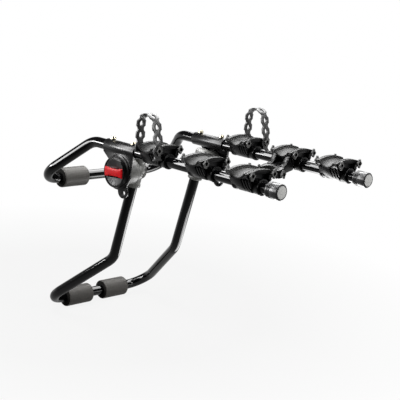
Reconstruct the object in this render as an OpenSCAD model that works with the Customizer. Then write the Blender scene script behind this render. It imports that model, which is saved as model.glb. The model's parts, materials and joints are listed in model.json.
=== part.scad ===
// Trunk mounted bike rack for three bikes, in millimetres.
// X runs across the car, arms reach along -Y, +Y points at the car, +Z is up.
// The origin is the middle of the upper cross bar, on the axis of its foam pads.

/* [Frame tubes] */
// Outside diameter of both frame tubes
tube_od = 28.6; // [25:0.1:32]
// Wall of both frame tubes
tube_wall = 2; // [1.5:0.1:3]
// Centre line radius of every bend
bend_r = 55; // [45:1:58]

/* [Upper frame] */
// Distance between the two arm axes
arm_spacing = 320; // [300:1:360]
// Height of the arms above the upper cross bar
arm_rise = 132; // [115:1:150]
// Distance from the upper cross bar to the bend of the arms
bend_setback = 151; // [135:1:170]
// Distance between the corner points of the upper cross bar
upper_spread = 480; // [470:1:520]
// Distance from the upper cross bar to the tips of the arms
arm_reach = 822; // [815:1:900]

/* [Lower frame] */
// Distance from the upper cross bar to the hub axis
hub_setback = 280; // [270:1:300]
// Height of the arms above the hub axis
hub_drop = 58; // [54:1:66]
// Distance between the two leg axes
leg_spacing = 229; // [210:1:234]
// Height of the hub axis above the knees
knee_drop = 259; // [230:1:300]
// How far the knees lie from the hub axis towards the car
knee_back = 70; // [50:1:90]
// Height of the hub axis above the lower cross bar
foot_drop = 432; // [400:1:470]
// How far the lower cross bar lies from the hub axis towards the car
foot_back = 277; // [250:1:300]
// Distance between the corner points of the lower cross bar
lower_spread = 384; // [380:1:420]

/* [Foam pads] */
// Outside diameter of the foam pads
pad_od = 56; // [46:1:64]
// Length of each foam pad
pad_len = 100; // [80:1:102]
// Distance from the middle of the upper cross bar to its pads
upper_pad_inset = 52; // [30:1:54]
// Distance from the middle of the lower cross bar to its pads
lower_pad_inset = 16; // [10:1:17]

/* [End caps] */
// Outside diameter of the end caps
cap_od = 38; // [35:0.5:46]
// Length of the end caps
cap_len = 53; // [40:1:56]
// Thickness of the end wall of a cap
cap_end = 8; // [6:0.5:10]

/* [Hubs] */
// Length of the bracket sleeve in front of the hub axis
sleeve_front = 52; // [46:1:60]
// Length of the bracket sleeve behind the hub axis
sleeve_back = 67; // [55:1:80]
// Wall of the bracket sleeve
sleeve_wall = 3.6; // [3:0.1:5]
// Thickness of the bracket plate
plate_t = 4; // [3:0.5:6]
// Radius of the dial rim at its open face
rim_r = 40; // [38:0.5:42]
// Radius of the dial rim where it meets the plate
rim_base_r = 46; // [44:0.5:48]
// Depth of the dial rim
rim_depth = 16; // [14:0.5:20]
// Radius of the drum of the leg socket
drum_r = 35; // [32:0.5:37]
// Diameter of the hub bolt
bolt_d = 10; // [8:0.5:12]
// Diameter of the hole in the strap lug
lug_hole_d = 10; // [8:0.5:12]

/* [Cradles] */
// Distance from the hub axis to the first cradle
cradle_1 = 131; // [125:1:140]
// Distance from the hub axis to the second cradle
cradle_2 = 295; // [270:1:310]
// Distance from the hub axis to the third cradle
cradle_3 = 443; // [430:1:445]
// Distance between the two strap stations of a cradle
station_gap = 72; // [66:1:76]
// Length of a saddle along the bike tube
saddle_len = 92; // [88:1:100]
// Radius of the trough for the bike tube
trough_r = 24; // [20:0.5:25]
// Height of the saddle walls above the arm axis
saddle_top = 40; // [38:0.5:44]
// Height of the trough floor above the arm axis, at mid saddle
trough_floor = 26.5; // [25:0.5:28]
// Radius of the arch that a saddle follows
arch_r = 150; // [130:1:200]
// Thickness of the rubber liners
liner_t = 4; // [3:0.1:4.5]
// Reach of the side saddle from the arm axis
sway_reach = 88; // [84:1:96]

/* [Straps] */
// Width of the straps at the eyes
strap_w = 28; // [24:0.5:32]
// Width of the straps between the eyes
strap_waist = 18; // [15:0.5:20]
// Thickness of the straps
strap_t = 4; // [3:0.1:5]
// Distance between the eyes of the straps
strap_pitch = 30; // [28:0.5:32]

/* [Hidden] */

$fn = 64;

// Clearances
press_gap = 0.1;   // radial gap of a pressed or glued fit
slip_gap = 0.2;    // radial gap of a fit that slides or turns
face_gap = 0.3;    // gap between faces that turn against each other
strap_gap = 0.4;   // gap on each side of a strap on its peg
cut = 1;           // overrun of a cutting shape
bend_thin = 0.1;   // how much thinner a bend is than the straight runs
bend_lap = 0.5;    // degrees that a bend runs into each straight run

// Tube frame
tube_r = tube_od / 2;
arm_x = arm_spacing / 2;
leg_x = leg_spacing / 2;
hub_y = -hub_setback;
hub_z = arm_rise - hub_drop;
tip_y = -arm_reach;
leg_tilt = atan2(knee_back, knee_drop);
leg_top = 22;      // how far a leg runs past the hub axis
leg_top_point = [leg_x, hub_y - leg_top * sin(leg_tilt), hub_z + leg_top * cos(leg_tilt)];
knee_point = [leg_x, hub_y + knee_back, hub_z - knee_drop];
foot_point = [lower_spread / 2, hub_y + foot_back, hub_z - foot_drop];
lower_bar_y = foot_point[1];
lower_bar_z = foot_point[2];
arm_tip = [arm_x, tip_y + cap_end, arm_rise];
arm_bend = [arm_x, -bend_setback, arm_rise];
bar_corner = [upper_spread / 2, 0, 0];

function mirrored(p) = [-p[0], p[1], p[2]];
upper_path = [mirrored(arm_tip), mirrored(arm_bend), mirrored(bar_corner),
    bar_corner, arm_bend, arm_tip];
lower_path = [mirrored(leg_top_point), mirrored(knee_point), mirrored(foot_point),
    foot_point, knee_point, leg_top_point];

// End caps
cap_r = cap_od / 2;
cap_chamfer = 2.5;
cap_disc_t = 2;
cap_disc_r = cap_r - cap_chamfer - 1.2;

// Hubs, along X from the arm outwards
sleeve_r = tube_r + press_gap + sleeve_wall;
plate_set = 1;     // how far the plate lies inside the outermost line of the sleeve
plate_out = arm_x + sleeve_r - plate_set;
plate_edge = 1;    // how far the plate shows around the foot of the dial rim
plate_in = plate_out - plate_t;
rim_face = plate_out + rim_depth;
bolt_r = bolt_d / 2;
bolt_hole_r = bolt_r + slip_gap;
disc_t = 2;
disc_r = drum_r - 5;
drum_out = plate_in - disc_t - 2 * face_gap;
socket_r = tube_r + press_gap + 4.4;
socket_top = leg_top + 4;
socket_len = 70;
drum_in = leg_x + socket_r - 6;
bolt_head_t = 6.5;
bolt_head_r = 0.92 * bolt_d;
bolt_seat = leg_x - socket_r - 1;
lug_r = 19;
lug_y = -22;
lug_z = -47;
lug_hole_y = -27;
lug_hole_z = -51;
screw_d = 5;
screw_head_r = 5;
screw_head_t = 4;
screw_pad_t = 1.6;
screw_at = [sleeve_back - 19, -sleeve_front + 18];

// Dial
dial_r = rim_r - 3;
dial_back = plate_out + 4;
dial_face = rim_face - 2;
dish_depth = 5;
nut_r = bolt_d * 0.85;
nut_t = 4;
grip_len = 2 * dial_r - 3;
grip_end_w = 21;
grip_mid_w = 16;
grip_face = rim_face + 3;

// Cradles
cradle_at = [cradle_1, cradle_2, cradle_3];
collar_bore_r = tube_r + slip_gap;
collar_r = collar_bore_r + 3.7;
collar_front = 42;
collar_back = 47;
saddle_front = 32;
saddle_back = 30;
saddle_half = saddle_len / 2;
station_x = station_gap / 2;
arch_z = saddle_top - arch_r;
arch_half = asin(saddle_half / (arch_r - 10));
liner_lip = 3;     // thickness of the liner on top of the walls
liner_over = 1;    // how far the liner reaches past the walls
trough_up = trough_floor + trough_r;     // height of the trough axis at mid saddle
body_trough_r = trough_r + liner_t;
flank_foot_x = 16;
flank_foot_z = -4;
flank_top_z = 25;
flank_angle = atan2(flank_top_z - flank_foot_z, saddle_half - flank_foot_x);
flute_w = 5;
flute_depth = 3;
flute_at = [-22, -8, 6, 20];
pocket_depth = 10;
pocket_half = station_x - 8;
pocket_top = 29;
peg_z = 28;
peg_stem_r = 4;
peg_stem_len = 5;
peg_neck_r = 4.6;
peg_neck_len = liner_over + strap_t + 2 * strap_gap;
peg_head_w = 17;
peg_head_h = 23;
peg_head_t = 4;
peg_hole_r = 2.6;

// Side saddle of the one cradle that also holds a bike's seat tube
sway_side = 1;
sway_cradle = 2;
sway_tilt = -14;
sway_h = 22;
sway_r = 22;
sway_axis_x = -(sway_reach + 8);
sway_half = 34;        // half its width along the arm
sway_root_half = 18;   // half the width of its neck
sway_neck_x = -44;     // where the neck starts to widen
sway_wide_x = -68;     // where it has its full width
sway_edge = 3;         // chamfer of its outer corners
sway_peg_x = -(sway_reach - 8);
sway_web_t = 14;
sway_web_y = [-29, 15];
sway_web_r = 26;

// Straps, in the plane across the bike tube
strap_rear_y = saddle_back + liner_over + strap_gap + strap_t / 2;
strap_front_y = -(saddle_front + liner_over + strap_gap + strap_t / 2);
strap_loop_r = 29;
strap_loop_z = 84;
strap_loop_y = strap_rear_y - strap_loop_r;
strap_kink_z = 43;
strap_tail = 25;
strap_notch_r = 8;

// Helpers for the bent tubes, along a path of corner points
function unit(v) = v / norm(v);
function heading(p, i) = unit(p[i + 1] - p[i]);
function turn_at(p, i) = acos(heading(p, i - 1) * heading(p, i));
function trim_at(p, i) = i == 0 || i == len(p) - 1 ? 0 : bend_r * tan(turn_at(p, i) / 2);

// Puts a child's X, Y and Z along three given directions, at a point
module placed(at, ux, uy, uz) {
    multmatrix([[ux[0], uy[0], uz[0], at[0]], [ux[1], uy[1], uz[1], at[1]],
        [ux[2], uy[2], uz[2], at[2]], [0, 0, 0, 1]]) children();
}

// Solid rod of radius r along a path, with every corner bent to bend_r.
// A bend is a hair thinner than the straight runs, and its ends run a little way into them.
module bent_rod(path, r, overrun = 0) {
    last = len(path) - 1;
    for (i = [0 : last - 1]) {
        along = heading(path, i);
        from = path[i] + along * (trim_at(path, i) - (i == 0 ? overrun : 0));
        to = path[i + 1] - along * (trim_at(path, i + 1) - (i == last - 1 ? overrun : 0));
        side = unit(cross(along, abs(along[0]) > 0.9 ? [0, 0, 1] : [1, 0, 0]));
        placed(from, side, cross(along, side), along) cylinder(r = r, h = norm(to - from));
    }
    for (i = [1 : last - 1]) {
        before = heading(path, i - 1);
        normal = unit(cross(before, heading(path, i)));
        inward = cross(normal, before);
        placed(path[i] - before * trim_at(path, i) + inward * bend_r, -inward, before, normal)
            rotate([0, 0, -bend_lap]) rotate_extrude(angle = turn_at(path, i) + 2 * bend_lap)
                translate([bend_r, 0]) circle(r - bend_thin);
    }
}

module bent_tube(path) {
    difference() {
        bent_rod(path, tube_r);
        bent_rod(path, tube_r - tube_wall, cut);
    }
}

// Everything for the right side, mirrored for the left
module sided(side) {
    if (side < 0) mirror([1, 0, 0]) children();
    else children();
}

module along_x(x0, x1, r, fn = $fn) {
    translate([x0, 0, 0]) rotate([0, 90, 0]) cylinder(r = r, h = x1 - x0, $fn = fn);
}

module along_y(y0, y1, r) {
    translate([0, y1, 0]) rotate([90, 0, 0]) cylinder(r = r, h = y1 - y0);
}

// A flat outline given in (y, z), as a plate from x0 to x1
module plate_x(x0, x1) {
    translate([x0, 0, 0]) rotate([90, 0, 90]) linear_extrude(x1 - x0) children();
}

// A flat outline given in (x, z), as a plate from y0 to y1
module plate_y(y0, y1) {
    translate([0, y1, 0]) rotate([90, 0, 0]) linear_extrude(y1 - y0) children();
}

module at_hub() { translate([0, hub_y, hub_z]) children(); }
module at_arm() { translate([arm_x, hub_y, arm_rise]) children(); }
module at_cradle(side, i) {
    translate([side * arm_x, hub_y - cradle_at[i - 1], arm_rise]) children();
}
// The leg's own frame: origin on the hub axis, -Z down the leg
module at_leg() { translate([leg_x, hub_y, hub_z]) rotate([leg_tilt, 0, 0]) children(); }

module upper_tube() {
    color("#141414") difference() {
        bent_tube(upper_path);
        for (side = [-1, 1]) sided(side) at_arm() for (y = screw_at)
            translate([0, y, 0]) cylinder(d = screw_d + 2 * slip_gap, h = tube_od);
    }
}

module lower_tube() {
    color("#141414") difference() {
        bent_tube(lower_path);
        for (side = [-1, 1]) sided(side) at_hub()
            along_x(leg_x - tube_od, leg_x + tube_od, bolt_hole_r);
    }
}

// Foam sleeve with rounded rims, from x0 along +X
module foam_sleeve(x0) {
    rim = 4;
    bore = tube_r + face_gap;
    translate([x0, 0, 0]) rotate([0, 90, 0]) rotate_extrude() {
        translate([bore, 0]) square([pad_od / 2 - rim - bore, pad_len]);
        translate([bore, rim]) square([pad_od / 2 - bore, pad_len - 2 * rim]);
        for (z = [rim, pad_len - rim]) translate([pad_od / 2 - rim, z]) circle(rim);
    }
}

module upper_pad(side) { color("#625f5b") sided(side) foam_sleeve(upper_pad_inset); }

module lower_pad(side) {
    color("#625f5b") sided(side) translate([0, lower_bar_y, lower_bar_z])
        foam_sleeve(lower_pad_inset);
}

module end_cap(side) {
    grip_rings = 3;
    color("#4a4a4a") sided(side) translate([arm_x, tip_y, arm_rise]) rotate([-90, 0, 0])
        rotate_extrude() difference() {
            polygon([[0, 0], [cap_r - cap_chamfer, 0], [cap_r, cap_chamfer], [cap_r, cap_len - 1],
                [cap_r - 1, cap_len], [0, cap_len]]);
            translate([-cut, -cut]) square([cap_disc_r + press_gap + cut, cap_disc_t + cut]);
            translate([-cut, cap_end]) square([tube_r + press_gap + cut, cap_len]);
            for (i = [1 : grip_rings]) translate([cap_r, cap_len - 4 - 3 * i]) circle(0.8, $fn = 24);
        }
}

module cap_disc(side) {
    color("#c9c9c7") sided(side) translate([arm_x, tip_y, arm_rise]) rotate([-90, 0, 0])
        rotate_extrude() polygon([[0, 0.3], [cap_disc_r - 0.8, 0.3], [cap_disc_r, 1],
            [cap_disc_r, cap_disc_t], [0, cap_disc_t]]);
}

// Side plate outline in (y, z) about the hub axis
module bracket_outline() {
    difference() {
        union() {
            polygon([[sleeve_back, hub_drop], [sleeve_back - 2, hub_drop - tube_r],
                [rim_base_r * cos(32), rim_base_r * sin(32)], [0, 0],
                [-sleeve_front, 12], [-sleeve_front, hub_drop]]);
            polygon([[-sleeve_front, 13], [-rim_base_r * cos(24), -rim_base_r * sin(24)], [0, 0],
                [0, 20]]);
            circle(rim_base_r + plate_edge);
            translate([lug_y, lug_z]) circle(lug_r);
        }
        translate([lug_hole_y, lug_hole_z]) circle(d = lug_hole_d);
        circle(bolt_hole_r);
    }
}

module hub_bracket(side) {
    rib_t = 3;
    ribs = 4;
    rib_step = (sleeve_front + sleeve_back - rib_t) / (ribs - 1);
    rib_in = arm_x - 4;
    color("#1d1d1e") sided(side) difference() {
        union() {
            at_arm() along_y(-sleeve_front, sleeve_back, sleeve_r);
            at_hub() plate_x(plate_in, plate_out) bracket_outline();
            at_hub() translate([plate_out, 0, 0]) rotate([0, 90, 0]) rotate_extrude()
                polygon([[dial_r + slip_gap, 0], [rim_base_r, 0], [rim_base_r, 3],
                    [rim_r + 2, 5], [rim_r, rim_depth - 1.5], [rim_r - 1, rim_depth],
                    [dial_r + slip_gap, rim_depth]]);
            at_hub() difference() {
                for (i = [0 : ribs - 1]) translate([rib_in, -sleeve_front + i * rib_step, 6])
                    cube([plate_in + cut - rib_in, rib_t, hub_drop - 6]);
                along_x(0, plate_out, drum_r + 3);
                translate([0, sleeve_back - 25, 0]) rotate([-40, 0, 0])
                    translate([0, 0, -80]) cube([plate_in, 120, 110]);
            }
            for (y = screw_at) at_arm() translate([0, y, 0])
                cylinder(r = screw_head_r + 1.5, h = sleeve_r + screw_pad_t);
        }
        at_arm() along_y(-sleeve_front - cut, sleeve_back + cut, tube_r + press_gap);
        for (y = screw_at) at_arm() translate([0, y, 0])
            cylinder(d = screw_d + 2 * slip_gap, h = 2 * sleeve_r);
    }
}

module hub_screws(side) {
    head_z = sleeve_r + screw_pad_t;
    color("#b9ab86") sided(side) for (y = screw_at) at_arm() translate([0, y, 0]) difference() {
        union() {
            translate([0, 0, tube_r - tube_wall - 4])
                cylinder(d = screw_d, h = head_z - tube_r + tube_wall + 4);
            translate([0, 0, head_z])
                cylinder(r1 = screw_head_r, r2 = screw_head_r - 1.2, h = screw_head_t);
        }
        translate([0, 0, head_z + screw_head_t - 2]) cylinder(r = 2.4, h = 2 + cut, $fn = 6);
    }
}

module friction_disc(side) {
    color("#3b3631") sided(side) at_hub() difference() {
        along_x(plate_in - disc_t, plate_in, disc_r);
        along_x(plate_in - disc_t - cut, plate_in + cut, bolt_hole_r);
    }
}

module spring_washer(side) {
    washer_t = 1.2;
    cone_h = dial_back - plate_out - 2 * face_gap - washer_t;
    color("#8d8f92") sided(side) at_hub() translate([plate_out, 0, 0]) rotate([0, 90, 0])
        rotate_extrude() polygon([[bolt_hole_r + 6, 0], [bolt_hole_r + 6 + washer_t, 0],
            [bolt_hole_r + washer_t, cone_h + washer_t], [bolt_hole_r, cone_h + washer_t]]);
}

module leg_socket(side) {
    depth = drum_out - drum_in;
    step = 2;
    neck_r = 24;
    band = 1.6;
    band_h = 6;
    color("#7b7c7c") sided(side) difference() {
        union() {
            at_hub() translate([drum_in, 0, 0]) rotate([0, 90, 0]) rotate_extrude()
                polygon([[0, 0], [drum_r - 3 * step, 0], [drum_r, 4 * step], [drum_r, depth - 3 * step],
                    [drum_r - step, depth - 2 * step], [drum_r - step, depth], [0, depth]]);
            at_hub() along_x(leg_x, drum_in + cut, neck_r);
            at_hub() along_x(bolt_seat, leg_x, bolt_head_r + 3);
            at_leg() translate([0, 0, socket_top - socket_len]) {
                cylinder(r = socket_r, h = socket_len);
                cylinder(r = socket_r + band, h = band_h);
            }
        }
        at_leg() translate([0, 0, -socket_len])
            cylinder(r = tube_r + press_gap, h = socket_len + leg_top + face_gap);
        at_hub() along_x(bolt_seat - cut, drum_out + cut, bolt_hole_r);
    }
}

module hub_bolt(side) {
    color("#3a3a3c") sided(side) at_hub() {
        along_x(bolt_seat - bolt_head_t, bolt_seat, bolt_head_r, 6);
        along_x(bolt_seat, dial_face - dish_depth - 3, bolt_r);
    }
}

module dial(side) {
    boss_r = nut_r + 4;
    depth = dial_face - dial_back;
    color("#18181a") sided(side) at_hub() difference() {
        translate([dial_back, 0, 0]) rotate([0, 90, 0]) rotate_extrude()
            polygon([[0, 0], [dial_r - 1, 0], [dial_r, 1], [dial_r, depth - 1], [dial_r - 1, depth],
                [dial_r - 3, depth], [boss_r + 4, depth - dish_depth], [0, depth - dish_depth]]);
        along_x(dial_back - cut, dial_back + nut_t + press_gap, nut_r + press_gap, 6);
        along_x(dial_back - cut, dial_face - dish_depth - 2, bolt_hole_r);
    }
}

// Bow-tie outline of the grip bar in (y, z)
module grip_outline(inset) {
    half = grip_len / 2 - inset;
    mid = grip_mid_w / 2 - inset;
    end = grip_end_w / 2 - inset;
    intersection() {
        polygon([[-half, -end], [-half * 0.45, -mid], [half * 0.45, -mid], [half, -end],
            [half, end], [half * 0.45, mid], [-half * 0.45, mid], [-half, end]]);
        circle(dial_r - 1.5 - inset);
    }
}

module dial_grip(side) {
    seat = dial_face - dish_depth;
    depth = dial_face - dial_back;
    bevel = 2.5;
    color("#d3222a") sided(side) at_hub() difference() {
        union() {
            plate_x(seat, grip_face - bevel) grip_outline(0);
            plate_x(grip_face - bevel, grip_face - bevel / 2) grip_outline(bevel / 3);
            plate_x(grip_face - bevel / 2, grip_face) grip_outline(bevel);
        }
        translate([dial_back, 0, 0]) rotate([0, 90, 0]) rotate_extrude()
            polygon([[dial_r - 3 - face_gap, depth + cut], [dial_r + cut, depth + cut], [dial_r + cut, 0],
                [nut_r + 8, depth - dish_depth]]);
    }
}

module dial_nut(side) {
    color("#a98f4e") sided(side) at_hub() difference() {
        along_x(dial_back, dial_back + nut_t, nut_r, 6);
        along_x(dial_back - cut, dial_back + nut_t + cut, bolt_hole_r);
    }
}

// Sweeps an outline given in (y, z above the arm axis) along the saddle's arch
module arch_sweep(half_angle) {
    translate([0, 0, arch_z]) rotate([90, 0, 0]) rotate([0, 0, 90 - half_angle])
        rotate_extrude(angle = 2 * half_angle) mirror([0, 1]) translate([-arch_z, 0])
            rotate(-90) mirror([1, 0]) children();
}

module trough_circle(r) { translate([0, trough_up]) circle(r); }

// Rounded block between the collar and the saddle's arch
module saddle_block() {
    intersection() {
        plate_y(-saddle_front, saddle_back) polygon([[-flank_foot_x, flank_foot_z],
            [flank_foot_x, flank_foot_z], [saddle_half, flank_top_z], [saddle_half, saddle_top],
            [-saddle_half, saddle_top], [-saddle_half, flank_top_z]]);
        translate([0, 0, arch_z]) along_y(-saddle_front, saddle_back, arch_r - liner_lip);
    }
}

module flutes() {
    for (side = [-1, 1]) for (y = flute_at)
        sided(side) translate([flank_foot_x, y - flute_w / 2, flank_foot_z]) rotate([0, -flank_angle, 0])
            translate([2, 0, -2 * flute_depth]) cube([norm([saddle_half - flank_foot_x,
                flank_top_z - flank_foot_z]) - 8, flute_w, 3 * flute_depth]);
}

module end_pockets() {
    for (front = [1, 0]) {
        y0 = front ? -saddle_front - cut : saddle_back - pocket_depth;
        translate([-pocket_half, y0, -saddle_top])
            cube([2 * pocket_half, pocket_depth + cut, saddle_top + pocket_top]);
    }
}

function sways(side, i) = side == sway_side && i == sway_cradle;

// Branch from the collar to the side saddle, with two curved webs up to the saddle block
module sway_arm() {
    rotate([0, sway_tilt, 0]) translate([0, 0, -sway_h / 2]) linear_extrude(sway_h) difference() {
        polygon([[0, -sway_root_half], [sway_neck_x, -sway_root_half], [sway_wide_x, -sway_half],
            [sway_edge - sway_reach, -sway_half], [-sway_reach, sway_edge - sway_half],
            [-sway_reach, sway_half - sway_edge], [sway_edge - sway_reach, sway_half],
            [sway_wide_x, sway_half], [sway_neck_x, sway_root_half], [0, sway_root_half]]);
        translate([sway_axis_x, 0]) circle(sway_r + liner_t);
    }
    for (y0 = sway_web_y) plate_y(y0, y0 + sway_web_t) difference() {
        polygon([[0, 0], [-saddle_half + 4, flank_top_z - 2], [-sway_reach + 16, -12],
            [-sway_reach + 16, -24], [0, -8]]);
        translate([-saddle_half - sway_web_r - 1, flank_top_z - 3]) circle(sway_web_r);
    }
}

module cradle_body(side, i) {
    color("#232324") at_cradle(side, i) difference() {
        union() {
            difference() {
                union() {
                    saddle_block();
                    if (sways(side, i)) sway_arm();
                }
                end_pockets();
                flutes();
                arch_sweep(arch_half + 4) trough_circle(body_trough_r);
            }
            along_y(-collar_front, collar_back, collar_r);
            for (y = [-collar_front, collar_back - 5]) along_y(y, y + 5, collar_r + 1.2);
        }
        along_y(-collar_front - cut, collar_back + cut, collar_bore_r);
        peg_seats(side, i) along_y(-peg_stem_len - face_gap, cut, peg_stem_r + press_gap);
    }
}

// Puts a peg, drawn pointing along +Y from its seat, at every peg place of a cradle
module peg_seats(side, i) {
    for (x = [-station_x, station_x]) {
        translate([x, saddle_back, peg_z]) children();
        translate([x, -saddle_front, peg_z]) mirror([0, 1, 0]) children();
    }
    if (sways(side, i)) rotate([0, sway_tilt, 0]) {
        translate([sway_peg_x, sway_half, 0]) children();
        translate([sway_peg_x, -sway_half, 0]) mirror([0, 1, 0]) children();
    }
}

module peg() {
    tip = 1.6;
    half_w = peg_head_w / 2;
    half_h = peg_head_h / 2 - tip;
    along_y(-peg_stem_len, 0, peg_stem_r);
    along_y(0, peg_neck_len, peg_neck_r);
    difference() {
        plate_y(peg_neck_len, peg_neck_len + peg_head_t) {
            polygon([[-half_w, 0], [-tip, half_h], [tip, half_h], [half_w, 0], [tip, -half_h],
                [-tip, -half_h]]);
            for (s = [-1, 1]) translate([0, s * (half_h - tip)]) circle(2 * tip);
            for (s = [-1, 1]) translate([s * (half_w - 2 * tip), 0]) circle(2 * tip);
        }
        along_y(peg_neck_len - cut, peg_neck_len + peg_head_t + cut, peg_hole_r);
    }
}

module cradle_pegs(side, i) { color("#8f8f8d") at_cradle(side, i) peg_seats(side, i) peg(); }

module cradle_pad(side, i) {
    groove_r = 0.9;
    wall_grooves = [28, 36, 44];
    lip_grooves = [24, 28];
    far = 100;
    color("#9b9a97") at_cradle(side, i) arch_sweep(arch_half) difference() {
        translate([-saddle_front - liner_over, 0])
            square([saddle_front + saddle_back + 2 * liner_over, saddle_top]);
        trough_circle(trough_r);
        difference() {
            translate([-far, -far]) square([2 * far, far + saddle_top - liner_lip + press_gap]);
            trough_circle(body_trough_r - press_gap);
        }
        for (a = wall_grooves) translate([0, trough_up]) rotate(-a) translate([trough_r, 0])
            circle(groove_r, $fn = 24);
        for (y = lip_grooves) translate([-y, saddle_top]) circle(groove_r, $fn = 24);
    }
}

module sway_pad() {
    pad_h = sway_h + 4;
    color("#9b9a97") at_cradle(sway_side, sway_cradle) rotate([0, sway_tilt, 0])
        translate([sway_axis_x, 0, -pad_h / 2]) linear_extrude(pad_h) intersection() {
            difference() {
                circle(sway_r + liner_t - press_gap);
                circle(sway_r);
            }
            translate([-sway_axis_x - sway_reach, -sway_half])
                square([sway_r + liner_t + cut, 2 * sway_half]);
        }
}

// Strap path in (y, z): up from the rear peg, over the loop, leaning to a kink, down to the front peg
strap_kink = [strap_front_y, strap_kink_z];
strap_reach = norm([strap_loop_y, strap_loop_z] - strap_kink);
strap_turn = 180 + atan2(strap_loop_z - strap_kink_z, strap_loop_y - strap_front_y)
    - acos(strap_loop_r / strap_reach);
strap_rear_len = strap_loop_z - peg_z;
strap_arc_len = PI * strap_loop_r * strap_turn / 180;
strap_lean_len = sqrt(pow(strap_reach, 2) - pow(strap_loop_r, 2));
strap_lean_at = strap_rear_len + strap_arc_len;
strap_kink_at = strap_lean_at + strap_lean_len;
strap_len = strap_kink_at + strap_kink_z - peg_z;
strap_eyes = round(strap_len / strap_pitch);
strap_step = strap_len / strap_eyes;

// Direction of the strap's outer face at length s, as an angle in the (y, z) plane
function strap_facing(s) =
    s > strap_kink_at ? 180 : max(0, min(1, (s - strap_rear_len) / strap_arc_len)) * strap_turn;
// Point of the strap at length s
function strap_point(s) =
    s > strap_kink_at ? [strap_front_y, strap_kink_z - (s - strap_kink_at)] :
    [strap_loop_y, strap_loop_z]
    + strap_loop_r * [cos(strap_facing(s)), sin(strap_facing(s))]
    + min(0, s - strap_rear_len) * [0, 1]
    + max(0, s - strap_lean_at) * [-sin(strap_turn), cos(strap_turn)];

// The plain band of the strap. Its curves are a hair thinner than its straight runs.
module strap_band() {
    half_t = strap_t / 2;
    curve_t = half_t - bend_thin;
    span = 4 * strap_loop_r;
    plate_x(-strap_w / 2, strap_w / 2) {
        translate([strap_loop_y, strap_loop_z]) {
            translate([strap_loop_r - half_t, -strap_rear_len - strap_w / 2])
                square([strap_t, strap_rear_len + strap_w / 2]);
            rotate(strap_turn) translate([strap_loop_r - half_t, 0]) square([strap_t, strap_lean_len]);
            intersection() {
                difference() {
                    circle(strap_loop_r + curve_t);
                    circle(strap_loop_r - curve_t);
                }
                rotate(-bend_lap) translate([-span / 2, 0]) square(span);
                rotate(strap_turn + bend_lap) translate([-span / 2, -span]) square(span);
            }
        }
        translate(strap_kink) circle(curve_t);
        translate([strap_front_y - half_t, peg_z - strap_tail])
            square([strap_t, strap_kink_z - peg_z + strap_tail]);
    }
}

// Puts a cutter, drawn in (x, length along the strap), through the strap at length s
module strap_cut(s) {
    p = strap_point(s);
    translate([0, p[0], p[1]]) rotate([strap_facing(s) - 90, 0, 0])
        translate([0, 0, -2 * strap_t]) linear_extrude(4 * strap_t) children();
}

// Pointed eye, wide enough to pass the neck of a peg
module strap_eye() {
    w = peg_neck_r + slip_gap;
    h = 7.8;
    r = (w * w + h * h) / (2 * w);
    intersection() {
        translate([w - r, 0]) circle(r);
        translate([r - w, 0]) circle(r);
    }
}

module strap(side) {
    color("#484848") at_cradle(side, 1) translate([side * station_x, 0, 0]) difference() {
        strap_band();
        for (k = [0 : strap_eyes]) strap_cut(k * strap_step) strap_eye();
        for (k = [0 : strap_eyes]) for (edge = [-1, 1]) strap_cut((k + 0.5) * strap_step)
            translate([edge * (strap_waist / 2 + strap_notch_r), 0]) circle(strap_notch_r);
    }
}

upper_tube();
lower_tube();
for (s = [["left", -1], ["right", 1]]) {
    upper_pad(s[1]);
    lower_pad(s[1]);
    end_cap(s[1]);
    cap_disc(s[1]);
    hub_bracket(s[1]);
    hub_screws(s[1]);
    friction_disc(s[1]);
    spring_washer(s[1]);
    leg_socket(s[1]);
    hub_bolt(s[1]);
    dial(s[1]);
    dial_grip(s[1]);
    dial_nut(s[1]);
    for (i = [1, 2, 3]) {
        cradle_body(s[1], i);
        cradle_pad(s[1], i);
        cradle_pegs(s[1], i);
    }
}
sway_pad();  // right_cradle_2_sway_pad
strap(-1);  // left_strap
strap(1);  // right_strap
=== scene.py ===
import json
import math

import bpy
from mathutils import Matrix, Vector


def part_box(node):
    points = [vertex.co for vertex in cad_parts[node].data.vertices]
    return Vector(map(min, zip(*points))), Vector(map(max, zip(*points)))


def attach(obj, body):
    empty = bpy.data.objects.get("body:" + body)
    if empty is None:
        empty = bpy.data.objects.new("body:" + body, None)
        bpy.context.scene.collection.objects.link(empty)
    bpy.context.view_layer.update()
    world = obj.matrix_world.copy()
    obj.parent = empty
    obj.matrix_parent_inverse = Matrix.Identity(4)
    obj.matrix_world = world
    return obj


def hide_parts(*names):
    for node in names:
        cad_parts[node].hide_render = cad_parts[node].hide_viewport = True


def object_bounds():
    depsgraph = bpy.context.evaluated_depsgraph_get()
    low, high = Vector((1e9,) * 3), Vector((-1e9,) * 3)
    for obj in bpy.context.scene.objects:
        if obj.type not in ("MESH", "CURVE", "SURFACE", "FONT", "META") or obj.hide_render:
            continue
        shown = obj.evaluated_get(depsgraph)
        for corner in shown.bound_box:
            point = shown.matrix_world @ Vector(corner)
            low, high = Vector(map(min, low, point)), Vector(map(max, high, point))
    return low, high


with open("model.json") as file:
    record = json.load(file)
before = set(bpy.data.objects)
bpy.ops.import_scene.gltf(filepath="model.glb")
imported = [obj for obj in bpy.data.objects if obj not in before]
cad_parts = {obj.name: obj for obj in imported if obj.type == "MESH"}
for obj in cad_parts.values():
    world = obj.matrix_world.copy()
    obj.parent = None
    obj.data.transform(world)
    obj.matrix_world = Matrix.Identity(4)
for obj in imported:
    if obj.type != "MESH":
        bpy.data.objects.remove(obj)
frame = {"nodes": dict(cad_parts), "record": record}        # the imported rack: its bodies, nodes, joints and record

MM = 0.001
NODES = frame["nodes"]
RECORD = frame["record"]
BODY_OF = {node: body for body, nodes in RECORD["behaviour"]["bodies"].items() for node in nodes}
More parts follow.
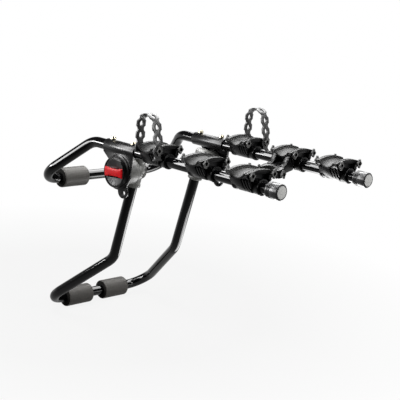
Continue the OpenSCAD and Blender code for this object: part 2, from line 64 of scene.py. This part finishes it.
SIDES = ("left", "right")
CAD_LOW, CAD_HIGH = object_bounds()

# Sizes that the finished pieces share with the solids
TUBE_R = 14.3 * MM
BORE_R = TUBE_R + 0.3 * MM  # of what sits on a tube
ARM_X, ARM_Z, ARM_TIP = 160 * MM, 132 * MM, -822 * MM
LEG_X, LEG_TILT = 114.5 * MM, math.atan2(70, 259)
HUB = Vector((0, -280, 74)) * MM
SCREW_ALONG, SCREW_SEAT = (48 * MM, -34 * MM), 19.6 * MM  # from the hub, and above the arm's axis
CRADLE_Y = {1: -411 * MM, 2: -575 * MM, 3: -723 * MM}
PEG_X, PEG_UP = 36 * MM, 28 * MM                # a cradle's peg axes, from the arm's
SIDE_PEG_X, SIDE_PEG_DOWN = 77.6 * MM, 19.4 * MM  # the peg axis of the side saddle, from its arm's

# Forms that the solids lack
CAP_FACE, CAP_SHORTER = 25 * MM, 16 * MM        # what lies further from the tip comes nearer by this
COLLAR_END, COLLAR_SHORTER = 41 * MM, 7 * MM    # the same for a collar, from its cradle's middle
GRIP_TURN, GRIP_WIDER = -4, 1.28                # in degrees about the hub, and along Z
FRONT_RIB, REAR_RIB = -47 * MM, 60 * MM         # the bracket's end ribs lie outside these, from the hub
PLATE_INSIDE = 174.5 * MM                       # just inside the bracket's plate
RIB_FOOT, RIB_TOP = 42 * MM, 43 * MM            # what is lower, above the hub, is drawn up to the second
HEAD_GROWTH = (1.6, 1.6, 1.6)                   # of the screw heads
HEAD_REACH, SHANK_REACH = 12 * MM, 3 * MM       # no corner of a head or shank is further from its axis
SEAT_SLACK = 0.5 * MM                           # a head's lowest corners lie this near its seat
CROWN_LOW, CROWN_TOP, CROWN_R = 24 * MM, 42 * MM, 18.8 * MM  # of the leg socket, up the leg from the hub
NECK_OUT, NECK_R = 14 * MM, 28.5 * MM           # of the leg socket, outwards along the hub's axis
SOCKET_EDGE = 2.5                               # broken edges of both, in mm
EYE_RIM_R, EYE_SHADE_R = 3.4 * MM, 4.55 * MM    # round a peg's eye before it is widened, and after: faces within the second take black nylon as painted shade
EYE_WIDER = (1.7, 1, 1.7)
FOAM_RIM = 4 * MM                               # radius of the foam's soft rims

MERGE = 0.005 * MM         # corners closer than this are one corner
FLAT = math.radians(0.5)   # faces that meet at less than this are one flat face
CREASE = math.radians(32)  # edges sharper than this stay sharp in the shading


# Colours and nodes

def linear(hex_colour):
    """An sRGB hex colour as linear RGBA."""
    channels = [int(hex_colour[i:i + 2], 16) / 255 for i in (1, 3, 5)]
    return [c / 12.92 if c <= 0.04045 else ((c + 0.055) / 1.055) ** 2.4 for c in channels] + [1.0]


def per_metre(size_mm):
    """The scale of a pattern on Object coordinates whose features are about this many millimetres."""
    return 1 / (size_mm * MM)


def add(tree, kind, settings, links=None):
    """Adds a node, sets its properties and sockets, and links its inputs by name or number."""
    node = tree.nodes.new(kind)
    for key, value in settings.items():
        if isinstance(key, str) and hasattr(node, key):
            setattr(node, key, value)
        else:
            node.inputs[key].default_value = value
    for key, socket in (links or {}).items():
        tree.links.new(socket, node.inputs[key])
    return node


def start_material(name, colour, roughness, **sockets):
    """A new material with its plain values on the shader's own sockets, and its Object coordinates."""
    material = bpy.data.materials.new(name)
    material.use_nodes = True
    tree = material.node_tree
    shader = tree.nodes["Principled BSDF"]
    shader.inputs["Base Color"].default_value = linear(colour)
    shader.inputs["Roughness"].default_value = roughness
    for key, value in sockets.items():
        shader.inputs[key.replace("_", " ")].default_value = value
    coordinates = add(tree, "ShaderNodeTexCoord", {}).outputs["Object"]
    return material, tree, shader, coordinates


def vary_roughness(tree, shader, coordinates, size_mm, low, high):
    """Smoother and duller patches, as a hand or a mould leaves them."""
    patches = add(tree, "ShaderNodeTexNoise", {"Scale": per_metre(size_mm), "Detail": 3.0},
                  {"Vector": coordinates})
    spread = add(tree, "ShaderNodeMapRange", {"From Min": 0.3, "From Max": 0.7, "To Min": low, "To Max": high},
                 {"Value": patches.outputs["Fac"]})
    tree.links.new(spread.outputs["Result"], shader.inputs["Roughness"])


def vary_colour(tree, shader, coordinates, first, second, size_mm):
    """Soft patches of two near colours."""
    patches = add(tree, "ShaderNodeTexNoise", {"Scale": per_metre(size_mm), "Detail": 4.0},
                  {"Vector": coordinates})
    spread = add(tree, "ShaderNodeMapRange", {"From Min": 0.35, "From Max": 0.65},
                 {"Value": patches.outputs["Fac"]})
    colour = add(tree, "ShaderNodeMix", {"data_type": "RGBA", 6: linear(first), 7: linear(second)},
                 {0: spread.outputs["Result"]})
    tree.links.new(colour.outputs[2], shader.inputs["Base Color"])


def grain(tree, shader, coordinates, size_mm, height_mm, strength):
    """A fine pebbled relief."""
    pebbles = add(tree, "ShaderNodeTexNoise", {"Scale": per_metre(size_mm), "Detail": 2.0},
                  {"Vector": coordinates})
    relief = add(tree, "ShaderNodeBump", {"Strength": strength, "Distance": height_mm * MM},
                 {"Height": pebbles.outputs["Fac"]})
    tree.links.new(relief.outputs["Normal"], shader.inputs["Normal"])


# Materials

def powder_coated_steel():
    """Gloss black powder coat, sprayed and baked: deep black with a faint orange peel in its reflections."""
    material, tree, shader, at = start_material("gloss_black_powder_coat", "#050506", roughness=0.1,
                                                Specular_IOR_Level=0.35)
    vary_roughness(tree, shader, at, size_mm=14, low=0.08, high=0.13)
    grain(tree, shader, at, size_mm=3, height_mm=0.015, strength=0.1)
    return material


def closed_cell_foam():
    """Extruded closed cell foam: dull warm grey skin, with its fine cells drawn a little coarser than real."""
    material, tree, shader, at = start_material("closed_cell_foam", "#4a4845", roughness=0.52,
                                                Specular_IOR_Level=0.25)
    vary_colour(tree, shader, at, "#474542", "#4d4b48", size_mm=5)
    grain(tree, shader, at, size_mm=1.1, height_mm=0.1, strength=0.15)
    return material


def painted_shade_foam():
    """The ends of the same foam, coloured near black: painted shade for the shade that falls on the sleeve ends."""
    material, tree, shader, at = start_material("foam_sleeve_end_painted_shade", "#171614", roughness=0.98,
                                                Specular_IOR_Level=0.1)
    vary_colour(tree, shader, at, "#131210", "#1c1b19", size_mm=3)
    grain(tree, shader, at, size_mm=1.2, height_mm=0.4, strength=0.6)
    return material


def moulded_nylon():
    """Glass filled nylon, moulded black: satin, with a fine spark-eroded grain drawn a little coarse."""
    material, tree, shader, at = start_material("moulded_black_nylon", "#0b0b0c", roughness=0.27,
                                                Specular_IOR_Level=0.3)
    vary_roughness(tree, shader, at, size_mm=20, low=0.24, high=0.32)
    grain(tree, shader, at, size_mm=0.9, height_mm=0.04, strength=0.2)
    return material


def cradle_nylon():
    """The cradles' nylon: black with a moulded gloss that streaks along every edge."""
    material, tree, shader, at = start_material("cradle_black_nylon", "#0a0a0b", roughness=0.28,
                                                Specular_IOR_Level=0.28)
    vary_roughness(tree, shader, at, size_mm=16, low=0.25, high=0.36)
    grain(tree, shader, at, size_mm=0.9, height_mm=0.04, strength=0.2)
    return material


def dial_abs():
    """Moulded black ABS with a polished dish."""
    material, tree, shader, at = start_material("dial_black_abs", "#08080a", roughness=0.32,
                                                Specular_IOR_Level=0.45)
    vary_roughness(tree, shader, at, size_mm=12, low=0.28, high=0.36)
    grain(tree, shader, at, size_mm=1.0, height_mm=0.02, strength=0.12)
    return material


def red_abs():
    """Moulded red ABS: clear colour under a soft gloss."""
    material, tree, shader, at = start_material("red_abs", "#d4121b", roughness=0.34,
                                                Specular_IOR_Level=0.12)
    vary_colour(tree, shader, at, "#d01019", "#d8161e", size_mm=12)
    grain(tree, shader, at, size_mm=0.8, height_mm=0.03, strength=0.15)
    return material


def grey_nylon():
    """Glass filled nylon in its grey: dull, with faint flow marks from the mould's gate."""
    material, tree, shader, at = start_material("moulded_grey_nylon", "#6a6a68", roughness=0.45)
    vary_colour(tree, shader, at, "#656563", "#70706d", size_mm=18)
    grain(tree, shader, at, size_mm=0.9, height_mm=0.05, strength=0.25)
    return material


def moulded_rubber():
    """Dark grey moulded rubber of the liners: a satin skin that shines on the crowns of its ribs."""
    material, tree, shader, at = start_material("dark_grey_liner_rubber", "#1e1e1d", roughness=0.45,
                                                Specular_IOR_Level=0.22)
    vary_colour(tree, shader, at, "#1c1c1b", "#222221", size_mm=15)
    grain(tree, shader, at, size_mm=0.8, height_mm=0.03, strength=0.2)
    return material


def peg_nylon():
    """Moulded grey nylon of the strap pegs."""
    material, tree, shader, at = start_material("peg_grey_nylon", "#5a5a59", roughness=0.42,
                                                Specular_IOR_Level=0.35)
    vary_colour(tree, shader, at, "#565655", "#5f5f5e", size_mm=8)
    grain(tree, shader, at, size_mm=0.8, height_mm=0.03, strength=0.2)
    return material


def strap_rubber():
    """Dark grey moulded rubber: soft sheen on the rounded rims of the eyes."""
    material, tree, shader, at = start_material("dark_grey_strap_rubber", "#303030", roughness=0.4)
    vary_colour(tree, shader, at, "#2d2d2d", "#343434", size_mm=14)
    grain(tree, shader, at, size_mm=0.8, height_mm=0.04, strength=0.25)
    return material


def cap_vinyl():
    """Dipped grey vinyl of the end caps: satin gloss."""
    material, tree, shader, at = start_material("grey_vinyl", "#303031", roughness=0.3)
    vary_roughness(tree, shader, at, size_mm=10, low=0.27, high=0.34)
    grain(tree, shader, at, size_mm=1.2, height_mm=0.03, strength=0.2)
    return material


def cap_face_abs():
    """Pale grey moulded disc."""
    material, tree, shader, at = start_material("pale_grey_abs", "#bcbcba", roughness=0.4)
    vary_colour(tree, shader, at, "#b7b7b5", "#c1c1bf", size_mm=6)
    grain(tree, shader, at, size_mm=0.7, height_mm=0.04, strength=0.3)
    return material


def yellow_zinc():
    """Yellow passivated zinc on steel: pale brass tint, with a thin rainbow cloudiness."""
    material, tree, shader, at = start_material("yellow_zinc_steel", "#c6bea6", roughness=0.3, Metallic=1.0)
    vary_colour(tree, shader, at, "#bfb392", "#cdc8b6", size_mm=3)
    return material


def black_zinc():
    """Black passivated zinc on steel: dark metal with duller and smoother patches."""
    material, tree, shader, at = start_material("black_zinc_steel", "#2c2c2e", roughness=0.38, Metallic=1.0)
    vary_roughness(tree, shader, at, size_mm=3, low=0.3, high=0.46)
    return material


def spring_steel():
    """Oiled spring steel."""
    material, tree, shader, at = start_material("spring_steel", "#a2a4a8", roughness=0.28, Metallic=1.0)
    vary_roughness(tree, shader, at, size_mm=3, low=0.22, high=0.34)
    return material


def turned_brass():
    """Plain turned brass of the threaded inserts."""
    material, tree, shader, at = start_material("turned_brass", "#b8964e", roughness=0.28, Metallic=1.0)
    vary_roughness(tree, shader, at, size_mm=2, low=0.22, high=0.34)
    return material


def friction_lining():
    """Pressed fibre lining: brown black and dull."""
    material, tree, shader, at = start_material("friction_lining", "#3b342d", roughness=0.85)
    vary_colour(tree, shader, at, "#332d27", "#453d35", size_mm=2)
    return material


# Pieces

def select_only(piece):
    """Selects one piece, and makes it the one that operators act on."""
    bpy.ops.object.select_all(action="DESELECT")
    piece.select_set(True)
    bpy.context.view_layer.objects.active = piece


def pick(piece, kind, chosen):
    """Leaves a piece in edit mode with the corners, edges or faces selected that a test picks."""
    select_only(piece)
    bpy.ops.object.mode_set(mode="EDIT")
    bpy.ops.mesh.select_mode(type=kind)
    bpy.ops.mesh.select_all(action="DESELECT")
    bpy.ops.object.mode_set(mode="OBJECT")
    mesh = piece.data
    for part in {"VERT": mesh.vertices, "EDGE": mesh.edges, "FACE": mesh.polygons}[kind]:
        part.select = chosen(part)
    bpy.ops.object.mode_set(mode="EDIT")


def move_corners(piece, chosen, offset):
    """Moves the corners whose place passes a test."""
    pick(piece, "VERT", lambda corner: chosen(corner.co))
    bpy.ops.transform.translate(value=offset)
    bpy.ops.object.mode_set(mode="OBJECT")


def resize_corners(piece, chosen, factors, centre):
    """Draws the corners whose place passes a test towards a point or away from it."""
    pick(piece, "VERT", lambda corner: chosen(corner.co))
    bpy.ops.transform.resize(value=factors, center_override=centre)
    bpy.ops.object.mode_set(mode="OBJECT")


def apply_place(piece):
    """Puts a piece's place, turn and size into its mesh."""
    select_only(piece)
    bpy.ops.object.transform_apply(location=True, rotation=True, scale=True)


def turn_and_widen(piece, pivot, turn, widen):
    """Widens a piece along Z and turns it about X, in degrees, round a point."""
    piece.location = -pivot
    apply_place(piece)
    piece.rotation_euler.x = math.radians(turn)
    piece.scale.z = widen
    apply_place(piece)
    piece.location = pivot
    apply_place(piece)


def join_to(piece, additions):
    """Joins finished pieces of the same material to a piece."""
    select_only(piece)
    for addition in additions:
        addition.select_set(True)
    bpy.ops.object.join()


def cut_by(piece, cutter):
    """Cuts a piece by another, which is then gone."""
    select_only(piece)
    boolean = piece.modifiers.new("cut", "BOOLEAN")
    boolean.operation = "DIFFERENCE"
    boolean.solver = "EXACT"
    boolean.object = cutter
    bpy.ops.object.modifier_apply(modifier=boolean.name)
    select_only(cutter)
    bpy.ops.object.delete()


def chop(piece, at, normal):
    """Cuts off what lies beyond a plane through a point, in mm, and closes the piece."""
    select_only(piece)
    bpy.ops.object.mode_set(mode="EDIT")
    bpy.ops.mesh.select_all(action="SELECT")
    bpy.ops.mesh.bisect(plane_co=Vector(at) * MM, plane_no=normal, use_fill=True, clear_outer=True)
    bpy.ops.object.mode_set(mode="OBJECT")


def rod(name, start, end, radius, sides=64):
    """A plain round rod between two points."""
    along = Vector(end) - Vector(start)
    bpy.ops.object.select_all(action="DESELECT")
    bpy.ops.mesh.primitive_cylinder_add(vertices=sides, radius=radius, depth=along.length,
                                        location=(Vector(start) + Vector(end)) / 2,
                                        rotation=along.to_track_quat("Z", "Y").to_euler())
    piece = bpy.context.object
    piece.name = name
    apply_place(piece)
    return piece


def block(name, low, high, turn=0.0):
    """A box between two corners, in mm, turned about Y in degrees round its own middle."""
    low, high = Vector(low) * MM, Vector(high) * MM
    bpy.ops.object.select_all(action="DESELECT")
    bpy.ops.mesh.primitive_cube_add(size=1, location=(low + high) / 2, rotation=(0, math.radians(turn), 0))
    piece = bpy.context.object
    piece.name = name
    piece.scale = high - low
    apply_place(piece)
    return piece


def finish_edges(piece, material, edge_mm):
    """Breaks a piece's sharp edges by edge_mm, shades it smoothly and gives it its material."""
    select_only(piece)
    if edge_mm:
        bevel = piece.modifiers.new("broken_edges", "BEVEL")
        bevel.width = edge_mm * MM
        bevel.segments = 2
        bevel.limit_method = "ANGLE"
        bevel.angle_limit = CREASE
        bpy.ops.object.modifier_apply(modifier=bevel.name)
    bpy.ops.object.shade_smooth_by_angle(angle=CREASE)
    piece.data.materials.clear()
    piece.data.materials.append(material)


def settle(piece, node):
    """A finished piece stands for its solid, and moves as it does."""
    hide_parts(node)
    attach(piece, BODY_OF[node])


def finished_copy(node, word, material, edge_mm=0.0):
    """A merged copy of a solid with finished edges."""
    piece = bpy.data.objects.new(f"{node}_{word}", NODES[node].data.copy())
    bpy.context.scene.collection.objects.link(piece)
    select_only(piece)
    bpy.ops.mesh.customdata_custom_splitnormals_clear()
    bpy.ops.object.mode_set(mode="EDIT")
    bpy.ops.mesh.select_all(action="SELECT")
    bpy.ops.mesh.remove_doubles(threshold=MERGE)
    if edge_mm:
        bpy.ops.mesh.dissolve_limited(angle_limit=FLAT)
    bpy.ops.object.mode_set(mode="OBJECT")
    finish_edges(piece, material, edge_mm)
    settle(piece, node)
    return piece


def foam_sleeve(node, side_material, end_shade_material, outer_trim, inner_trim):
    """A foam sleeve on a cross bar, its ends trimmed by mm: a thick tube with soft rims and uneven sides."""
    low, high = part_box(node)
    trims = (outer_trim, inner_trim) if high.x < 0 else (inner_trim, outer_trim)
    low.x += trims[0] * MM
    high.x -= trims[1] * MM
    axis = (low + high) / 2
    radius = (high.z - low.z) / 2
    bpy.ops.object.select_all(action="DESELECT")
    bpy.ops.mesh.primitive_cylinder_add(vertices=80, radius=radius, depth=high.x - low.x,
                                        location=axis, rotation=(0, math.pi / 2, 0))
    piece = bpy.context.object
    piece.name = f"{node}_foam"
    apply_place(piece)

    pick(piece, "FACE", lambda face: abs(face.normal.x) > 0.9)
    bpy.ops.mesh.inset(thickness=radius - BORE_R)
    bpy.ops.mesh.bridge_edge_loops()
    bpy.ops.object.mode_set(mode="OBJECT")

    def length_along(edge):
        first, second = (piece.data.vertices[i].co for i in edge.vertices)
        return abs(first.x - second.x)

    def is_rim(edge):
        ends = [piece.data.vertices[i].co for i in edge.vertices]
        out = min(math.hypot(end.y - axis.y, end.z - axis.z) for end in ends)
        return out > radius - FOAM_RIM and length_along(edge) < FOAM_RIM

    pick(piece, "EDGE", is_rim)
    bpy.ops.mesh.bevel(offset=FOAM_RIM, segments=6, profile=0.5)
    bpy.ops.object.mode_set(mode="OBJECT")
    pick(piece, "EDGE", lambda edge: length_along(edge) > 4 * FOAM_RIM)
    bpy.ops.mesh.subdivide(number_cuts=24)
    bpy.ops.object.mode_set(mode="OBJECT")

    lumps = bpy.data.textures.new(f"{node}_lumps", "CLOUDS")
    lumps.noise_scale = 22 * MM
    uneven = piece.modifiers.new("uneven_sides", "DISPLACE")
    uneven.texture = lumps
    uneven.texture_coords = "GLOBAL"
    uneven.strength = 0.6 * MM
    uneven.mid_level = 0.7
    bpy.ops.object.modifier_apply(modifier=uneven.name)
    bpy.ops.object.shade_smooth_by_angle(angle=CREASE)
    piece.data.materials.append(side_material)
    piece.data.materials.append(end_shade_material)
    # faces across the sleeve's axis, its ends, take the near black foam: painted shade
    for face in piece.data.polygons:
        face.material_index = 1 if abs(face.normal.x) > 0.8 else 0
    settle(piece, node)


def cradle_keel(material):
    """The deep fluted flanks of a cradle below its saddle, drawn in mm about the arm's axis."""
    keel = block("cradle_keel", (-42, -32, -16.5), (42, 30, 15))
    for x in (-1, 1):  # the lower corners slope in twice
        for slope in ((x * 0.85, 0, -0.53), (x * 0.62, 0, -0.79)):
            chop(keel, (x * 28, 0, -3), slope)
    cutters = [block("pocket", (-28, -33, -20), (28, -22, 20)), block("pocket", (-28, 20, -20), (28, 31, 20))]
    for x in (-1, 1):  # three flutes lean up each flank
        for y in (8, 17, 26):
            cutters.append(block("flute", (x * 33 - 22, x * y - 2.5, 1.5),
                                 (x * 33 + 22, x * y + 2.5, 9.5), turn=x * -58))
    cutters.append(rod("bore", (0, -40 * MM, 0), (0, 40 * MM, 0), BORE_R))
    for cutter in cutters:
        cut_by(keel, cutter)
    finish_edges(keel, material, 0.7)
    return keel


def is_end_rib(at):
    """True for a corner of the bracket's first and last rib, below its sleeve and inside its plate."""
    between = FRONT_RIB < at.y - HUB.y < REAR_RIB
    return abs(at.x) < PLATE_INSIDE and at.z < HUB.z + RIB_FOOT and not between


def is_screw_head(at, seat):
    """True for a corner of the head on this seat, and not for the top of its shank."""
    near = abs(at.y - seat.y) < HEAD_REACH and at.z > seat.z - SEAT_SLACK
    beside_shank = math.hypot(at.x - seat.x, at.y - seat.y) > SHANK_REACH
    return near and (beside_shank or at.z > seat.z + 2 * SEAT_SLACK)


def shape_hub(finished, side_x, socket_material):
    """Gives one side's cap, grip, bracket, screws and socket the forms that their solids lack."""
    move_corners(finished["end_cap"], lambda at: at.y > ARM_TIP + CAP_FACE, (0, -CAP_SHORTER, 0))
    turn_and_widen(finished["dial_grip"], HUB, GRIP_TURN, GRIP_WIDER)
    resize_corners(finished["hub_bracket"], is_end_rib, (1, 1, 0), (0, 0, HUB.z + RIB_TOP))
    for along in SCREW_ALONG:
        seat = Vector((side_x * ARM_X, HUB.y + along, ARM_Z + SCREW_SEAT))
        resize_corners(finished["hub_screws"], lambda at: is_screw_head(at, seat), HEAD_GROWTH, seat)
    leg_up = Vector((0, -math.sin(LEG_TILT), math.cos(LEG_TILT)))
    hub = HUB + Vector((side_x * LEG_X, 0, 0))
    crown = rod("socket_crown", hub + leg_up * CROWN_LOW, hub + leg_up * CROWN_TOP, CROWN_R)
    neck = rod("socket_neck", hub, hub + Vector((side_x * NECK_OUT, 0, 0)), NECK_R)
    for addition in (crown, neck):
        finish_edges(addition, socket_material, SOCKET_EDGE)
    join_to(finished["leg_socket"], [crown, neck])


def add_flanks(body, keel, side_x, y):
    """Shortens a cradle's collar and joins a copy of the fluted flanks to its body."""
    move_corners(body, lambda at: at.y > y + COLLAR_END, (0, -COLLAR_SHORTER, 0))
    select_only(keel)
    bpy.ops.object.duplicate()
    flanks = bpy.context.object
    flanks.location = (side_x * ARM_X, y, ARM_Z)
    apply_place(flanks)
    join_to(body, [flanks])


def widen_eyes(pegs, across, height, shade_slot):
    """Widens the eyes of the pegs on one axis along Y, and gives the faces inside them another material slot, which
    holds painted shade.
    """
    def from_axis(at):
        return math.hypot(at.x - across, at.z - height)

    resize_corners(pegs, lambda at: from_axis(at) < EYE_RIM_R, EYE_WIDER, (across, 0, height))
    corners = pegs.data.vertices
    for face in pegs.data.polygons:
        # faces inside an eye take the slot of painted shade
        if all(from_axis(corners[i].co) < EYE_SHADE_R for i in face.vertices):
            face.material_index = shade_slot


# Frame, hubs and cradles

coat = powder_coated_steel()
for tube in ("upper_tube", "lower_tube"):
    finished_copy(tube, "coated", coat)

foam = closed_cell_foam()
# near black foam for the sleeve ends: painted shade
painted_end_shade = painted_shade_foam()
for side in SIDES:
    foam_sleeve(f"{side}_upper_pad", foam, painted_end_shade, outer_trim=1, inner_trim=14)
foam_sleeve("left_lower_pad", foam, painted_end_shade, outer_trim=0, inner_trim=12)
foam_sleeve("right_lower_pad", foam, painted_end_shade, outer_trim=12, inner_trim=3)

FINISHES = {  # solid: last word of the piece's name, material and size of its broken edges in mm
    "end_cap": ("dipped", cap_vinyl(), 0.6),
    "cap_disc": ("moulded", cap_face_abs(), 0.3),
    "hub_bracket": ("moulded", moulded_nylon(), 0.7),
    "hub_screws": ("plated", yellow_zinc(), 0.3),
    "friction_disc": ("pressed", friction_lining(), 0.2),
    "spring_washer": ("coned", spring_steel(), 0.1),
    "leg_socket": ("moulded", grey_nylon(), 0.8),
    "hub_bolt": ("plated", black_zinc(), 0.4),
    "dial": ("moulded", dial_abs(), 0.4),
    "dial_grip": ("moulded", red_abs(), 0.6),
    "dial_nut": ("turned", turned_brass(), 0.2),
    "strap": ("moulded", strap_rubber(), 1.0),
}
cradle_black = cradle_nylon()
liner_grey = moulded_rubber()
peg_grey = peg_nylon()
keel = cradle_keel(cradle_black)
for side, side_x in zip(SIDES, (-1, 1)):
    finished = {part: finished_copy(f"{side}_{part}", word, material, edge_mm)
                for part, (word, material, edge_mm) in FINISHES.items()}
    shape_hub(finished, side_x, FINISHES["leg_socket"][1])
    for number, y in CRADLE_Y.items():
        cradle = f"{side}_cradle_{number}"
        add_flanks(finished_copy(f"{cradle}_body", "moulded", cradle_black, 0.7), keel, side_x, y)
        finished_copy(f"{cradle}_pad", "moulded", liner_grey, 0.4)
        pegs = finished_copy(f"{cradle}_pegs", "moulded", peg_grey, 0.5)
        # black nylon in the second slot: painted shade inside the pegs' eyes
        pegs.data.materials.append(cradle_black)
        eyes = [(side_x * ARM_X + away, ARM_Z + PEG_UP) for away in (-PEG_X, PEG_X)]
        if cradle == "right_cradle_2":
            eyes.append((ARM_X - SIDE_PEG_X, ARM_Z - SIDE_PEG_DOWN))
        for across, height in eyes:
            widen_eyes(pegs, across, height, shade_slot=1)
select_only(keel)
bpy.ops.object.delete()
finished_copy("right_cradle_2_sway_pad", "moulded", liner_grey, 0.5)


# Studio

def mirrored_rays(tree, path):
    """One for rays that gloss or glass sends out."""
    return add(tree, "ShaderNodeMath", {"operation": "MAXIMUM"},
               {0: path.outputs["Is Glossy Ray"], 1: path.outputs["Is Transmission Ray"]}).outputs[0]


def white_behind(tree, vector, reach, dark):
    """White behind the rack and dark on the camera's side of it, as in a studio with one white wall."""
    along = add(tree, "ShaderNodeVectorMath", {"operation": "DOT_PRODUCT", 1: (0.71, 0.7, 0)}, {0: vector})
    return add(tree, "ShaderNodeMapRange",
               {"From Min": -reach, "From Max": reach, "To Min": dark, "To Max": 1.0},
               {"Value": along.outputs["Value"]}).outputs[0]


def white_floor(level):
    """A pale floor that keeps the rack's shadow and fades to white away from it."""
    bpy.ops.object.select_all(action="DESELECT")
    bpy.ops.mesh.primitive_circle_add(vertices=96, radius=12, fill_type="NGON", location=(0, 0, level))
    floor = bpy.context.object
    floor.name = "studio_floor"
    material = bpy.data.materials.new("pale_floor")
    material.use_nodes = True
    tree = material.node_tree
    tree.nodes.clear()
    at = add(tree, "ShaderNodeTexCoord", {}).outputs["Object"]
    away = add(tree, "ShaderNodeVectorMath", {"operation": "LENGTH"}, {0: at})
    fade = add(tree, "ShaderNodeMapRange", {"From Min": 0.5, "From Max": 1.2, "To Min": 0.88, "To Max": 1.0},
               {"Value": away.outputs["Value"]})
    path = add(tree, "ShaderNodeLightPath", {})
    mirrored = mirrored_rays(tree, path)
    shown = add(tree, "ShaderNodeMath", {"operation": "MULTIPLY"},
                {0: path.outputs["Is Camera Ray"], 1: fade.outputs[0]})
    share = add(tree, "ShaderNodeMath", {"operation": "MAXIMUM"}, {0: shown.outputs[0], 1: mirrored})
    white = add(tree, "ShaderNodeMix", {2: 1.0}, {0: mirrored, 3: white_behind(tree, at, 0.9, 0.06)})
    paint = add(tree, "ShaderNodeBsdfDiffuse", {"Color": linear("#8c8c8a")})
    glow = add(tree, "ShaderNodeEmission", {"Color": (1, 1, 1, 1)}, {"Strength": white.outputs[0]})
    mixed = add(tree, "ShaderNodeMixShader", {},
                {0: share.outputs[0], 1: paint.outputs[0], 2: glow.outputs[0]})
    add(tree, "ShaderNodeOutputMaterial", {}, {"Surface": mixed.outputs[0]})
    floor.data.materials.append(material)


def white_room(fill, top_fill, overhead):
    """A white room for the eye. Gloss sees it bright at the horizon and dim overhead, and it fills shadows."""
    world = bpy.data.worlds.new("studio_room")
    bpy.context.scene.world = world
    world.use_nodes = True
    tree = world.node_tree
    background = tree.nodes["Background"]
    background.inputs["Color"].default_value = (1, 1, 1, 1)
    path = add(tree, "ShaderNodeLightPath", {})
    direction = add(tree, "ShaderNodeTexCoord", {}).outputs["Generated"]
    height = add(tree, "ShaderNodeSeparateXYZ", {}, {0: direction}).outputs["Z"]
    dimmed = add(tree, "ShaderNodeMapRange",
                 {"From Min": 0.05, "From Max": 0.35, "To Min": 1.0, "To Max": overhead}, {"Value": height})
    wall = add(tree, "ShaderNodeMath", {"operation": "MULTIPLY"},
               {0: dimmed.outputs[0], 1: white_behind(tree, direction, 0.4, 0.08)})
    soft = add(tree, "ShaderNodeMapRange", {"To Min": fill, "To Max": top_fill}, {"Value": height})
    gloss = add(tree, "ShaderNodeMix", {},
                {0: mirrored_rays(tree, path), 2: soft.outputs[0], 3: wall.outputs[0]})
    strength = add(tree, "ShaderNodeMix", {3: 1.0}, {0: path.outputs["Is Camera Ray"], 2: gloss.outputs[0]})
    tree.links.new(strength.outputs[0], background.inputs["Strength"])


def soft_box(name, at, target, size, power, mirrored_only=False):
    """A soft box that faces a point, or a card that only gloss sees."""
    light = bpy.data.lights.new(name, "AREA")
    light.shape = "RECTANGLE"
    light.size, light.size_y = size
    light.energy = power
    lamp = bpy.data.objects.new(name, light)
    bpy.context.scene.collection.objects.link(lamp)
    lamp.visible_camera = False
    lamp.visible_diffuse = not mirrored_only
    lamp.location = at
    lamp.rotation_euler = (Vector(target) - Vector(at)).to_track_quat("-Z", "Y").to_euler()


def photo_camera(azimuth, elevation, roll, at, lens_mm):
    """The photograph's viewpoint, from its fitted angles in degrees and its place in metres."""
    a, e, r = (math.radians(x) for x in (azimuth, elevation, roll))
    back = Vector((math.sin(a) * math.cos(e), -math.cos(a) * math.cos(e), math.sin(e)))
    level = Vector((math.cos(a), math.sin(a), 0))
    upright = back.cross(level)
    right = level * math.cos(r) + upright * math.sin(r)
    up = upright * math.cos(r) - level * math.sin(r)
    data = bpy.data.cameras.new("photo_camera")
    data.lens = lens_mm
    data.sensor_width = 36
    camera = bpy.data.objects.new("photo_camera", data)
    bpy.context.scene.collection.objects.link(camera)
    camera.matrix_world = Matrix.Translation(at) @ Matrix((right, up, back)).transposed().to_4x4()
    bpy.context.scene.camera = camera


white_floor(CAD_LOW.z)
white_room(fill=0.05, top_fill=0.45, overhead=0.05)
middle = (0, -0.35, 0)
soft_box("top_soft_box", (-0.4, 0.1, 2.3), middle, size=(1.4, 1.4), power=45)
soft_box("left_soft_box", (-2.2, 0.3, 0.7), (-0.2, -0.3, 0), size=(0.9, 0.9), power=22)
soft_box("front_soft_box", (0.9, -3.0, 1.6), middle, size=(0.9, 0.9), power=60)
CARDS = {  # cards that only gloss sees: place, the point each faces, size and power
    "left_card": ((-0.98, 0.5, 0.75), (-0.18, 0.5, 0.15), (0.5, 1.35), 42),
    "dial_card": ((-1.25, 0.95, 0.35), (-0.2, -0.28, 0.04), (0.35, 0.25), 14),
    "right_top_card": ((0.85, 0.05, 1.15), (-0.15, -0.05, 0), (1.8, 0.8), 50),
    "floor_card": ((0.38, -0.42, CAD_LOW.z + 0.005), (0.38, -0.42, 1), (0.45, 0.4), 5),
}
for name, (place, faced, size, power) in CARDS.items():
    soft_box(name, place, faced, size, power, mirrored_only=True)
photo_camera(azimuth=-45.2, elevation=12.7, roll=4.7, at=(-1.823, -2.220, 0.5886), lens_mm=90)
bpy.context.scene.view_settings.view_transform = "Standard"
